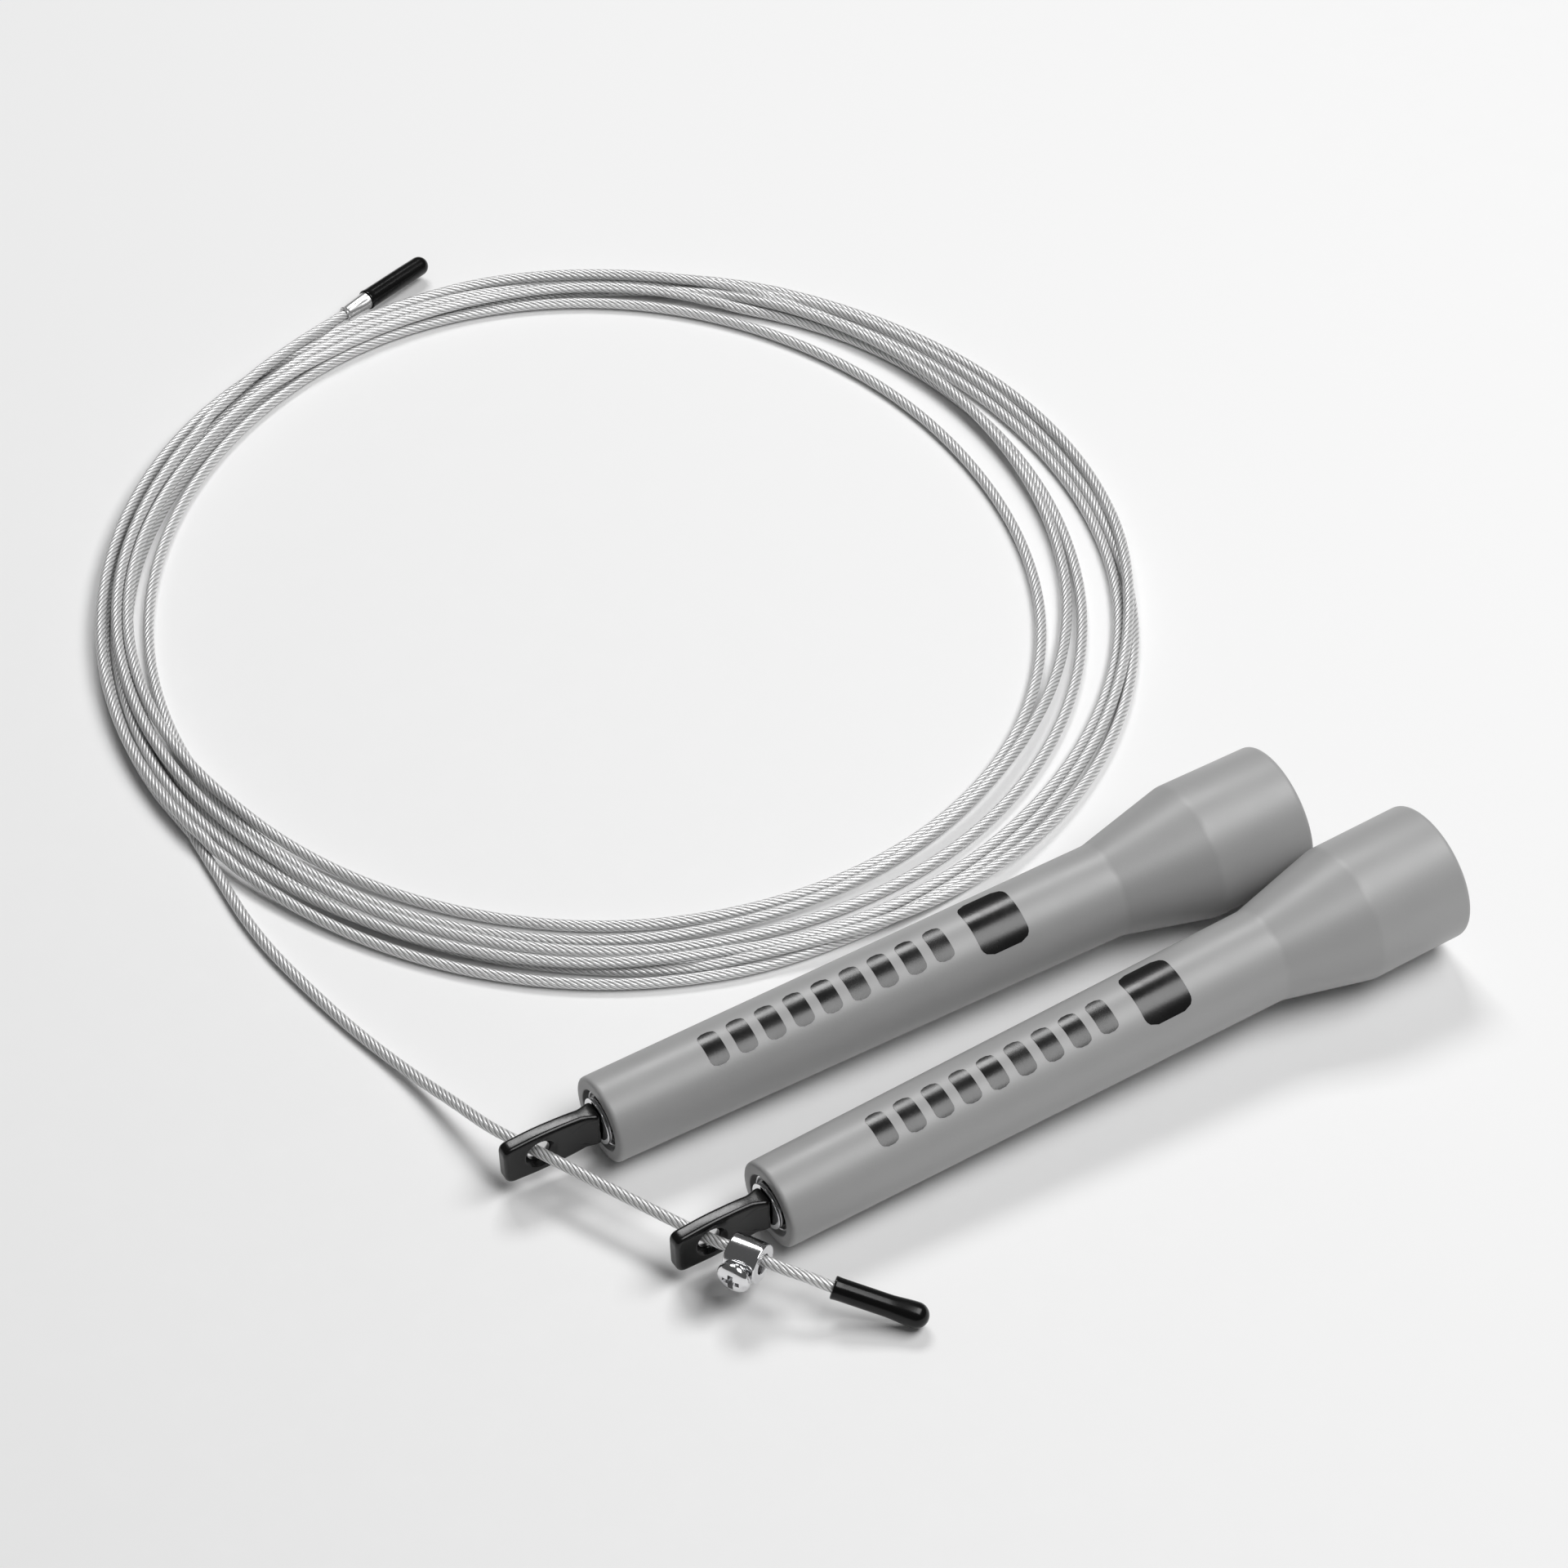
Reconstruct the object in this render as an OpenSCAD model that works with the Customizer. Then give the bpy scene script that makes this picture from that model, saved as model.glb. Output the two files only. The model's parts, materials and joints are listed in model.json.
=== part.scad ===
// Speed jump rope laid down for storage: two hollow handles on ball bearings, a swivel eye on
// each, and one coated steel cable that runs from a loose coil through both eyes.
// +X runs from the swivel eyes to the open rear ends of the handles, +Y towards the coil, +Z up.
// The origin is under the middle of the pair of handles, on the surface that they lie on.

/* [Handles] */
// Length of a handle, nose face to rear rim
handle_len = 157.6; // [145:0.2:175]
// Outer diameter at the nose
nose_d = 18.2; // [17.6:0.2:20]
// Outer diameter at the thick end of the grip
waist_d = 19.8; // [19:0.2:22]
// Outer diameter of the flared rear end
flare_d = 29; // [26:0.5:32]
// Length of the straight part of the flared end
flare_len = 21.6; // [12:0.2:26]
// Length of the cone between the grip and the flared end
cone_len = 20; // [12:1:26]
// Wall thickness of the flared end
wall = 2; // [1.6:0.1:2.6]
// Inner diameter behind the bearing
core_d = 13.6; // [12:0.2:14]
// Rounding of the nose edge and of the rear rim
edge_r = 1.2; // [0.4:0.1:1.6]

/* [Pair of handles] */
// Distance across between the two noses
nose_gap = 35.8; // [33:0.2:60]
// How far one handle lies behind the other
stagger = 17; // [0:0.5:30]
// Angle that each handle turns towards the other
splay = 1.1; // [0:0.1:1.5]

/* [Bearings] */
// Bore of the bearing
bearing_bore = 5; // [5:1:5]
// Outer diameter of the bearing
bearing_d = 13; // [13:1:13]
// Width of the bearing
bearing_w = 4; // [4:1:4]
// Diameter of one ball
ball_d = 2; // [1.6:0.1:2.2]
// Number of balls
ball_count = 7; // [5:1:8]
// How deep the bearing sits behind the nose face
bearing_recess = 0.9; // [0.6:0.1:1.5]

/* [Swivel eyes] */
// Distance from the nose face to the tip of the eye
eye_reach = 21.4; // [20:0.2:26]
// Thickness of the eye plate
eye_t = 3.3; // [2.6:0.1:4]
// Half height of the eye plate at the cable hole
eye_half_h = 5.15; // [4.8:0.05:6]
// Diameter of the cable hole
eye_hole_d = 4.8; // [4.4:0.1:5.2]
// Distance from the nose face to the middle of the hole
eye_hole_s = 13.6; // [12:0.1:15]
// Distance from the nose face to the cable, which lies off the hole's middle
cable_s = 14.2; // [13:0.1:15.5]

/* [Cable] */
// Diameter over the clear coating
cable_d = 2.4; // [2:0.1:2.6]
// Outer radius of the coil
coil_r = 112.5; // [110:0.5:116]
// Inner radius of the coil
coil_inner_r = 87.5; // [85:0.5:92]
// Height of the coil where its turns lie on each other
coil_h = 7.2; // [4.8:0.1:8]

/* [Clamp and end caps] */
// Outer diameter of the clamp's barrel
barrel_d = 8.2; // [7.6:0.1:9]
// Length of the clamp's barrel
barrel_len = 7; // [6:0.1:8]
// Bore of the clamp's barrel
barrel_bore = 4.2; // [3.8:0.1:4.4]
// Thread diameter of the clamp screw
screw_d = 4; // [3.5:0.1:4]
// Diameter of the screw's head
screw_head_d = 7; // [6:0.1:7.6]
// Diameter of an end cap
cap_d = 4.5; // [4:0.1:5]
// Length of an end cap
cap_len = 19.3; // [16:0.5:24]

/* [Hidden] */
$fn = 72;

// Stations along a handle, measured from its nose face
cone_start = handle_len - flare_len - cone_len;
flare_start = handle_len - flare_len;
nose_r = nose_d / 2;
waist_r = waist_d / 2;
flare_r = flare_d / 2;
flare_inner_r = flare_r - wall;
bearing_back = bearing_recess + bearing_w;
shoulder_len = 2;
shoulder_r = 5.2;
core_start = bearing_back + shoulder_len;
core_taper = 2;

// A handle rests on its nose rim and on the front of its flare, so it tilts a little
tilt = atan((flare_r - nose_r) / (flare_start - edge_r));
nose_z = nose_r * cos(tilt) - edge_r * sin(tilt);
pair_span = stagger + handle_len + eye_reach;
nose_a = [eye_reach - pair_span / 2, nose_gap / 2, nose_z];
nose_b = [nose_a[0] + stagger, -nose_gap / 2, nose_z];

// Sizes inside the bearing
bearing_r = bearing_d / 2;
bore_r = bearing_bore / 2;
pitch_r = (bearing_r + bore_r) / 2;
ring_wall = 1;
groove_gap = 0.05;
shield_t = 0.3;
shield_in = 0.15;
cage_half_w = 1.3;
cage_half_t = 0.45;
pocket_len = 2;

// The eye's shaft and what is clamped on it
shaft_r = 2.45;
washer_t = 1;
washer_r = 4.9;
washer_front = -0.5;
spacer_r = 3.4;
rear_washer_t = 0.8;
rear_washer_r = 4.4;
nut_t = 5;
nut_flats = 8;
insert_t = 1.3;
insert_r = 3.3;
shaft_end = bearing_back + rear_washer_t + nut_t + 1;
countersink_d = 6.8;
countersink_depth = 1;

// Cable route, coil to near end: floor, up to the two eyes, straight through the clamp, down
lead_route = [
    [-105.8, 136, 1.2], [-106.6, 124, 1.2], [-107.5, 110, 1.2], [-107.2, 98, 1.2],
    [-105.6, 85, 1.2], [-103.4, 72, 1.2], [-101, 61, 1.5], [-98.6, 50, 2.7], [-96.8, 40, 4.9],
    [-95.2, 30, 7.2], [-93.3, 23.6, 8.3], [-90.8, 18.2, 8.5], [-82.3, 0, 8.5],
    [-73.8, -18.2, 8.9], [-71.6, -22.7, 9.4], [-69.1, -27, 9.5], [-65.6, -33, 9.5],
    [-62.2, -36.9, 8.7], [-58.6, -40.3, 7], [-53, -45.7, 5.1], [-47.8, -50.8, 3.4]
];
// Cable route, top of the coil to the far end
tail_route = [
    [-45, 246, 6], [-31, 252.7, 6], [-18, 257.6, 5.6], [-5.4, 261.7, 4.7], [3.8, 264.6, 4.3],
    [18, 269.1, 3.7]
];
route_steps = 3;
coil_centre = [3, 148];

// The clamp lies across one point of the route and lines up with the points beside it
clamp_at = lead_route[15];
clamp_line = lead_route[16] - lead_route[14];
clamp_az = atan2(clamp_line[1], clamp_line[0]);
clamp_roll = 2;
clamp_shift = 0.85;
screw_tip = 0.4;
screw_len = 4.4;
head_t = 2.1;

near_cap_mouth = lead_route[18];
near_cap_aim = lead_route[20];
far_cap_mouth = tail_route[4];
far_cap_aim = tail_route[5];
ferrule_len = 7;
near_cap_tip_r = 2.6;
far_cap_tip_r = 2.2;
cap_floor = 3;

// Points on a quarter arc about c from angle a0 to a1
function arc(c, r, a0, a1, n = 6) =
    [for (i = [0 : n]) c + r * [cos(a0 + (a1 - a0) * i / n), sin(a0 + (a1 - a0) * i / n)]];

// Smooth curve through the points of a route
function spline(p0, p1, p2, p3, t) =
    0.5 * (2 * p1 + (p2 - p0) * t + (2 * p0 - 5 * p1 + 4 * p2 - p3) * t * t
    + (3 * p1 - p0 - 3 * p2 + p3) * t * t * t);
function smooth_route(r, n) = let (k = len(r) - 1) concat(
    [for (i = [0 : k - 1], j = [0 : n - 1])
        spline(r[max(i - 1, 0)], r[i], r[i + 1], r[min(i + 2, k)], j / n)],
    [r[k]]
);
function unit(v) = v / norm(v);
function heading(r, i) = unit(r[min(i + 1, len(r) - 1)] - r[max(i - 1, 0)]);

// Round bar swept along a route as one closed surface
module swept_bar(route, d, sides = 8) {
    path = smooth_route(route, route_steps);
    rings = len(path);
    points = [for (i = [0 : rings - 1]) let (
            t = heading(path, i),
            side = unit(cross(t, [0, 0, 1])),
            up = cross(side, t)
        ) for (j = [0 : sides - 1])
            path[i] + d / 2 * (cos(360 * j / sides) * side + sin(360 * j / sides) * up)];
    faces = concat(
        [[for (j = [0 : sides - 1]) j]],
        [for (i = [0 : rings - 2], j = [0 : sides - 1]) let (k = (j + 1) % sides)
            [i * sides + j, (i + 1) * sides + j, (i + 1) * sides + k, i * sides + k]],
        [[for (j = [sides - 1 : -1 : 0]) (rings - 1) * sides + j]]
    );
    polyhedron(points = points, faces = faces, convexity = 6);
}

// Puts a handle's own frame, whose X runs from the nose face to the rear, in its place
module on_handle(side) {
    at = side == "a" ? nose_a : nose_b;
    turn = side == "a" ? -splay : splay;
    translate(at) rotate([0, -tilt, turn]) children();
}

// Turns an outline of [radius, station] points about the handle's axis
module turned(outline) {
    rotate([0, 90, 0]) rotate_extrude() polygon(outline);
}

module tube(r_out, r_in, from, to) {
    turned([[r_in, from], [r_out, from], [r_out, to], [r_in, to]]);
}

module grip() {
    color("#8f8f8f") turned(concat(
        [[bearing_r, 0], [nose_r - edge_r, 0]],
        arc([nose_r - edge_r, edge_r], edge_r, -90, 0),
        [[waist_r, cone_start], [flare_r, flare_start]],
        arc([flare_r - edge_r, handle_len - edge_r], edge_r, 0, 90),
        [[flare_inner_r, handle_len], [flare_inner_r, flare_start], [waist_r - wall, cone_start],
        [core_d / 2, core_start + core_taper], [shoulder_r, core_start], [shoulder_r, bearing_back],
        [bearing_r, bearing_back]]
    ));
}

module bearing_ring(r_in, r_out) {
    mid = bearing_recess + bearing_w / 2;
    difference() {
        tube(r_out, r_in, bearing_recess, bearing_back);
        rotate([0, 90, 0]) rotate_extrude()
            translate([pitch_r, mid]) circle(r = ball_d / 2 + groove_gap, $fn = 32);
    }
}

module bearing_outer_ring() {
    color("silver") bearing_ring(bearing_r - ring_wall, bearing_r);
}

module bearing_inner_ring() {
    color("silver") bearing_ring(bore_r, bore_r + ring_wall);
}

module bearing_shields() {
    color("dimgray") for (from = [bearing_recess + shield_in, bearing_back - shield_in - shield_t])
        tube(bearing_r - ring_wall, bore_r + ring_wall + shield_in, from, from + shield_t);
}

module each_ball(r) {
    mid = bearing_recess + bearing_w / 2;
    for (i = [0 : ball_count - 1])
        rotate([360 * i / ball_count, 0, 0]) translate([mid, pitch_r, 0]) sphere(r = r, $fn = 32);
}

module bearing_balls() {
    color("lightgray") each_ball(ball_d / 2);
}

module bearing_cage() {
    mid = bearing_recess + bearing_w / 2;
    color("darkgray") difference() {
        tube(pitch_r + cage_half_t, pitch_r - cage_half_t, mid - cage_half_w, mid + cage_half_w);
        for (i = [0 : ball_count - 1]) rotate([360 * i / ball_count, 0, 0])
            translate([mid, pitch_r, 0]) rotate([-90, 0, 0])
                cylinder(r = ball_d / 2 + groove_gap, h = pocket_len, center = true, $fn = 32);
    }
}

module spacer() {
    color("silver") tube(spacer_r, bore_r, washer_front + washer_t, bearing_recess);
}

module front_washer() {
    color("silver") tube(washer_r, bore_r, washer_front, washer_front + washer_t);
}

module rear_washer() {
    color("silver") tube(rear_washer_r, bore_r, bearing_back, bearing_back + rear_washer_t);
}

module lock_nut() {
    from = bearing_back + rear_washer_t;
    color("gray") difference() {
        translate([from, 0, 0]) rotate([0, 90, 0]) cylinder(d = nut_flats / cos(30), h = nut_t, $fn = 6);
        translate([from - 1, 0, 0]) rotate([0, 90, 0]) cylinder(r = bore_r, h = nut_t + 2);
        translate([from + nut_t - insert_t, 0, 0]) rotate([0, 90, 0])
            cylinder(r = insert_r, h = insert_t + 1);
    }
}

module lock_nut_insert() {
    to = bearing_back + rear_washer_t + nut_t;
    color("white") tube(insert_r, bore_r, to - insert_t, to);
}

// Side view of the eye plate: [distance from the nose face, half height]
function eye_outline() = let (
    tip_r = 1.6,
    tip_half = eye_half_h - 0.5,
    upper = concat(
        [[washer_front, 4], [-3.5, 4.5], [-6.7, 4.85], [-eye_hole_s, eye_half_h]],
        arc([-eye_reach + tip_r, tip_half - tip_r], tip_r, 90, 180)
    )
) concat(upper, [for (i = [len(upper) - 1 : -1 : 0]) [upper[i][0], -upper[i][1]]]);

module swivel_eye() {
    color("#1a1a1a") union() {
        difference() {
            rotate([90, 0, 0]) linear_extrude(eye_t, center = true) polygon(eye_outline());
            translate([-eye_hole_s, 0, 0]) rotate([90, 0, 0])
                cylinder(d = eye_hole_d, h = eye_t + 2, center = true);
            for (m = [0, 1]) mirror([0, m, 0]) translate([-eye_hole_s, eye_t / 2, 0]) rotate([90, 0, 0])
                cylinder(d1 = countersink_d, d2 = eye_hole_d, h = countersink_depth);
        }
        translate([washer_front, 0, 0]) rotate([0, 90, 0])
            cylinder(r = shaft_r, h = shaft_end - washer_front);
    }
}

// The coil's outer shape: a flat ring with rounded edges
module cable_coil() {
    r = cable_d / 2;
    color("#c8c8c8") translate(coil_centre) rotate_extrude($fn = 120) polygon(concat(
        arc([coil_r - r, r], r, -90, 0, 3),
        arc([coil_r - r, coil_h - r], r, 0, 90, 3),
        arc([coil_inner_r + r, coil_h - r], r, 90, 180, 3),
        arc([coil_inner_r + r, r], r, 180, 270, 3)
    ));
}

module cable_lead() {
    color("#c8c8c8") swept_bar(lead_route, cable_d);
}

module cable_tail() {
    color("#c8c8c8") swept_bar(tail_route, cable_d);
}

// Puts a frame whose X runs from a to b at a
module along(a, b) {
    v = b - a;
    translate(a) rotate([0, -asin(v[2] / norm(v)), atan2(v[1], v[0])]) children();
}

// Dipped end cap: open mouth at 0, straight body, round tip
module end_cap(tip_r) {
    r = cap_d / 2;
    lip = 0.5;
    bore = cable_d / 2 + 0.05;
    tip_at = cap_len - tip_r;
    color("#101010") turned(concat(
        [[0, cap_len - cap_floor], [bore, cap_len - cap_floor], [bore, 0]],
        arc([r - lip, lip], lip, -90, 0, 4),
        [[r, tip_at - 3.5]],
        arc([0, tip_at], tip_r, 0, 90, 8)
    ));
}

module near_end_cap() {
    along(near_cap_mouth, near_cap_aim) end_cap(near_cap_tip_r);
}

module far_end_cap() {
    along(far_cap_mouth, far_cap_aim) end_cap(far_cap_tip_r);
}

// Crimped sleeve that widens towards the far end cap and stops at its mouth
module far_ferrule() {
    bore = cable_d / 2 + 0.05;
    color("silver") along(far_cap_mouth, far_cap_aim) turned([
        [bore, -ferrule_len], [bore + 0.35, -ferrule_len], [bore + 0.65, 0], [bore, 0]
    ]);
}

// Puts the clamp's frame, X along the cable and Y towards the screw's head, at the clamp
module on_clamp() {
    translate(clamp_at) rotate([0, 0, clamp_az]) rotate([-clamp_roll, 0, 180])
        translate([0, clamp_shift, 0]) children();
}

module clamp_barrel() {
    color("silver") on_clamp() difference() {
        rotate([0, 90, 0]) cylinder(d = barrel_d, h = barrel_len, center = true);
        rotate([0, 90, 0]) cylinder(d = barrel_bore, h = barrel_len + 2, center = true);
        rotate([-90, 0, 0]) cylinder(d = screw_d + 0.1, h = barrel_d);
    }
}

module clamp_screw() {
    slot_w = 1;
    slot_len = 4;
    slot_depth = 1.2;
    head_r = screw_head_d / 2;
    round_r = 0.8;
    chamfer = 0.4;
    head_at = screw_tip + screw_len;
    color("silver") on_clamp() rotate([-90, 0, 0]) difference() {
        rotate_extrude() polygon(concat(
            [[0, screw_tip], [screw_d / 2 - chamfer, screw_tip], [screw_d / 2, screw_tip + chamfer],
            [screw_d / 2, head_at], [head_r, head_at]],
            arc([head_r - round_r, head_at + head_t - round_r], round_r, 0, 90, 4),
            [[0, head_at + head_t]]
        ));
        for (turn = [0, 90]) rotate(turn)
            translate([0, 0, head_at + head_t]) cube([slot_len, slot_w, 2 * slot_depth], center = true);
    }
}

on_handle("a") grip();  // grip_a
on_handle("a") bearing_outer_ring();  // bearing_outer_ring_a
on_handle("a") bearing_shields();  // bearing_shields_a
on_handle("a") bearing_cage();  // bearing_cage_a
on_handle("a") bearing_balls();  // bearing_balls_a
on_handle("a") bearing_inner_ring();  // bearing_inner_ring_a
on_handle("a") spacer();  // spacer_a
on_handle("a") front_washer();  // front_washer_a
on_handle("a") rear_washer();  // rear_washer_a
on_handle("a") lock_nut();  // lock_nut_a
on_handle("a") lock_nut_insert();  // lock_nut_insert_a
on_handle("a") swivel_eye();  // swivel_eye_a
on_handle("b") grip();  // grip_b
on_handle("b") bearing_outer_ring();  // bearing_outer_ring_b
on_handle("b") bearing_shields();  // bearing_shields_b
on_handle("b") bearing_cage();  // bearing_cage_b
on_handle("b") bearing_balls();  // bearing_balls_b
on_handle("b") bearing_inner_ring();  // bearing_inner_ring_b
on_handle("b") spacer();  // spacer_b
on_handle("b") front_washer();  // front_washer_b
on_handle("b") rear_washer();  // rear_washer_b
on_handle("b") lock_nut();  // lock_nut_b
on_handle("b") lock_nut_insert();  // lock_nut_insert_b
on_handle("b") swivel_eye();  // swivel_eye_b
cable_coil();
cable_lead();
cable_tail();
far_ferrule();
far_end_cap();
near_end_cap();
clamp_barrel();
clamp_screw();
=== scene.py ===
"""Looks of the jump rope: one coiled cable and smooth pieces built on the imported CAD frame.

Shapes are in millimetres, as in the part's source, and become metres where a mesh is made.
"""

import json
import math

import bmesh
import bpy
import numpy as np
from mathutils import Matrix, Vector


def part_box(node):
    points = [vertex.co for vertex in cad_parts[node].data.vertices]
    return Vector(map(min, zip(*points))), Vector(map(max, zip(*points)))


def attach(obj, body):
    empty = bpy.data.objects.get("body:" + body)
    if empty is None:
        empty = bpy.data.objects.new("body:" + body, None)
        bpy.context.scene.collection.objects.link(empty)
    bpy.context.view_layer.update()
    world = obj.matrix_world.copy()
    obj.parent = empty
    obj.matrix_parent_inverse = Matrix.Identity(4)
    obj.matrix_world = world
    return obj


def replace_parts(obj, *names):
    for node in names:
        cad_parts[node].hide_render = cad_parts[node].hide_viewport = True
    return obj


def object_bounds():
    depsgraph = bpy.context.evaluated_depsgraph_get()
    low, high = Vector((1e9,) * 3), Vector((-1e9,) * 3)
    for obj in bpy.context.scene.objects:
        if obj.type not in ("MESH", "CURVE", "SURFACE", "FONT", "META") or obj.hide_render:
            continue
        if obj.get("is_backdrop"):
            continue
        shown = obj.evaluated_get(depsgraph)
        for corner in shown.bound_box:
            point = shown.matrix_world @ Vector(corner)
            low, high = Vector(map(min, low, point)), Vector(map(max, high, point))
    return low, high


MM = 0.001
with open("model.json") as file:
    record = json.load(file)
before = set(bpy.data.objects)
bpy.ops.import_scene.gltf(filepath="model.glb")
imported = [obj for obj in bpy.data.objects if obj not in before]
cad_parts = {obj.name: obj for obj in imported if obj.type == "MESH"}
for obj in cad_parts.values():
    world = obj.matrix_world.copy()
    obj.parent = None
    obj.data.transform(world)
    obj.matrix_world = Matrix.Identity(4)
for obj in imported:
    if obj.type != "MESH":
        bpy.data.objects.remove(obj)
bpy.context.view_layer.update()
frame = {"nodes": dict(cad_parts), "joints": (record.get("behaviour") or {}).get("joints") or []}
joints = {j["name"]: j for j in frame["joints"]}


def add(name, data):
    """A new object holding data, linked to the scene."""
    made = bpy.data.objects.new(name, data)
    bpy.context.scene.collection.objects.link(made)
    return made


def aim(made, direction):
    """Points a camera or a light along direction."""
    made.rotation_mode = "QUATERNION"
    made.rotation_quaternion = Vector(direction).to_track_quat("-Z", "Y")


# ---- Camera -------------------------------------------------------------------------------

camera = add("camera", bpy.data.cameras.new("camera"))
camera.location = (-0.4331, -0.6432, 0.8509)
aim(camera, (0.3655, 0.6060, -0.7066))
camera.data.sensor_width = 36
camera.data.lens = 132.5
camera.data.clip_start, camera.data.clip_end = 0.05, 20
camera.data.dof.use_dof = False
bpy.context.scene.camera = camera
bpy.context.scene.view_settings.view_transform = "Standard"

# ---- Finishes -----------------------------------------------------------------------------


class Finish:
    """A procedural material: a Principled shader and the nodes that vary it."""

    def __init__(self, name, colour, rough, metal=0.0, coat=0.0, coat_rough=0.1, specular=0.5):
        self.material = bpy.data.materials.new(name)
        self.material.use_nodes = True
        self.tree = self.material.node_tree
        self.shader = self.tree.nodes["Principled BSDF"]
        self.colour = colour
        self.shader.inputs["Base Color"].default_value = (*colour, 1)
        self.shader.inputs["Roughness"].default_value = rough
        self.shader.inputs["Metallic"].default_value = metal
        self.shader.inputs["Coat Weight"].default_value = coat
        self.shader.inputs["Coat Roughness"].default_value = coat_rough
        self.shader.inputs["Specular IOR Level"].default_value = specular

    def node(self, kind, **values):
        """A new node; a value is a socket's number, or another node's output to join to it."""
        made = self.tree.nodes.new("ShaderNode" + kind)
        for name, value in values.items():
            self.put(made.inputs[name.replace("_", " ")], value)
        return made

    def put(self, socket, value):
        if isinstance(value, bpy.types.NodeSocket):
            self.tree.links.new(value, socket)
        else:
            socket.default_value = value

    def math(self, operation, a, b=0.0):
        made = self.tree.nodes.new("ShaderNodeMath")
        made.operation = operation
        self.put(made.inputs[0], a)
        self.put(made.inputs[1], b)
        return made.outputs[0]

    def ranged(self, value, low, high, start=0.0, end=1.0):
        """value from start..end turned to low..high."""
        made = self.node("MapRange", Value=value, From_Min=start, From_Max=end,
                         To_Min=low, To_Max=high)
        return made.outputs["Result"]

    def noise(self, size, stretch=(1, 1, 1), detail=4.0):
        """Noise whose grains are about size millimetres, longer along an axis with stretch over 1."""
        place = self.node("TexCoord").outputs["Object"]
        scale = [1 / (size * MM * s) for s in stretch]
        placed = self.node("Mapping", Vector=place, Scale=scale).outputs["Vector"]
        return self.node("TexNoise", Vector=placed, Scale=1.0, Detail=detail).outputs["Fac"]

    def shade(self, value, low, high):
        """Base colour times low where value is 0 and times high where it is 1."""
        mix = self.tree.nodes.new("ShaderNodeMix")
        mix.data_type = "RGBA"
        self.put(mix.inputs["Factor"], value)
        mix.inputs["A"].default_value = (*[c * low for c in self.colour], 1)
        mix.inputs["B"].default_value = (*[min(1, c * high) for c in self.colour], 1)
        self.put(self.shader.inputs["Base Color"], mix.outputs["Result"])

    def rough(self, value, low, high):
        self.put(self.shader.inputs["Roughness"], self.ranged(value, low, high, 0.3, 0.7))

    def bump(self, value, depth, coat=False):
        """Relief depth millimetres deep. The clear coat keeps its own smooth surface."""
        made = self.node("Bump", Height=value, Distance=depth * MM)
        self.put(self.shader.inputs["Normal"], made.outputs["Normal"])
        if coat:
            self.put(self.shader.inputs["Coat Normal"], made.outputs["Normal"])


def grained(name, colour, rough, grain, depth, shade=0.05, stretch=(1, 1, 1), **more):
    """Finish with fine grain, slow smudges in its roughness and a little uneven colour."""
    made = Finish(name, colour, rough[0], **more)
    fine = made.noise(grain, stretch)
    slow = made.noise(9.0)
    made.bump(fine, depth, coat=True)
    made.rough(made.math("ADD", made.math("MULTIPLY", fine, 0.4),
                         made.math("MULTIPLY", slow, 0.6)), *rough)
    made.shade(made.math("ADD", made.math("MULTIPLY", fine, 0.5),
                         made.math("MULTIPLY", slow, 0.5)), 1 - shade, 1 + shade)
    return made.material


STRANDS = 8
LAY = 12.0


def cable_finish():
    """Twisted silver strands seen through a smooth clear coating, with painted shade in the grooves
    between them.
    U counts the strands round the cable and V is millimetres along it."""
    made = Finish("coated_cable", (0.74, 0.74, 0.74), 0.3, metal=0.4, coat=0.4, coat_rough=0.12)
    uv = made.node("SeparateXYZ", Vector=made.node("TexCoord").outputs["UV"])
    across = made.math("SUBTRACT", made.math("FRACT", uv.outputs["X"]), 0.5)
    crown = made.math("SUBTRACT", 1.0, made.math(
        "MULTIPLY", made.math("MULTIPLY", across, across), 4.0))
    lay = made.math("SUBTRACT", uv.outputs["X"],
                    made.math("MULTIPLY", uv.outputs["Y"], STRANDS / LAY))
    wires = made.ranged(made.math("SINE", made.math("MULTIPLY", lay, 3 * math.tau)),
                        0.0, 1.0, -1.0, 1.0)
    speck = made.noise(0.5, detail=2.0)
    height = made.math("ADD", crown, made.math("MULTIPLY", wires, 0.02))
    made.bump(height, 0.12)
    # Painted shade: base colour darker in the grooves between strands and lighter on their crowns.
    painted_groove_shade = made.math("ADD", made.math("MULTIPLY", crown, 0.95),
                     made.math("MULTIPLY", made.math("MULTIPLY", wires, speck), 0.1))
    made.shade(painted_groove_shade, 0.42, 1.18)
    made.rough(speck, 0.3, 0.42)
    return made.material


GREY = grained("grey_handle_plastic", (0.37, 0.37, 0.37), (0.33, 0.45), 0.22, 0.012, 0.06)
PRINT = grained("black_print", (0.008, 0.008, 0.008), (0.16, 0.3), 0.3, 0.004, 0.2)
BLACK = grained("black_gloss_plate", (0.006, 0.006, 0.006), (0.16, 0.28), 0.5, 0.006, 0.2,
                specular=0.4)
VINYL = grained("black_vinyl", (0.004, 0.004, 0.004), (0.14, 0.24), 0.6, 0.004, 0.2, specular=0.3)
SHIELD = grained("dark_shield", (0.004, 0.004, 0.004), (0.1, 0.18), 0.3, 0.004, 0.2)
STEEL = grained("bearing_steel", (0.78, 0.78, 0.79), (0.08, 0.2), 0.2, 0.004, 0.05, metal=1.0)
CAGE = grained("cage_steel", (0.55, 0.54, 0.52), (0.25, 0.4), 0.3, 0.006, 0.08, metal=1.0)
PLATED = grained("plated_steel", (0.62, 0.63, 0.66), (0.2, 0.36), 0.35, 0.006, 0.08, metal=1.0)
NYLON = grained("white_nylon", (0.82, 0.82, 0.8), (0.4, 0.55), 0.3, 0.01, 0.03)
CHROME = grained("chrome_clamp", (0.78, 0.78, 0.79), (0.1, 0.18), 0.5, 0.003, 0.06, metal=1.0)
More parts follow.
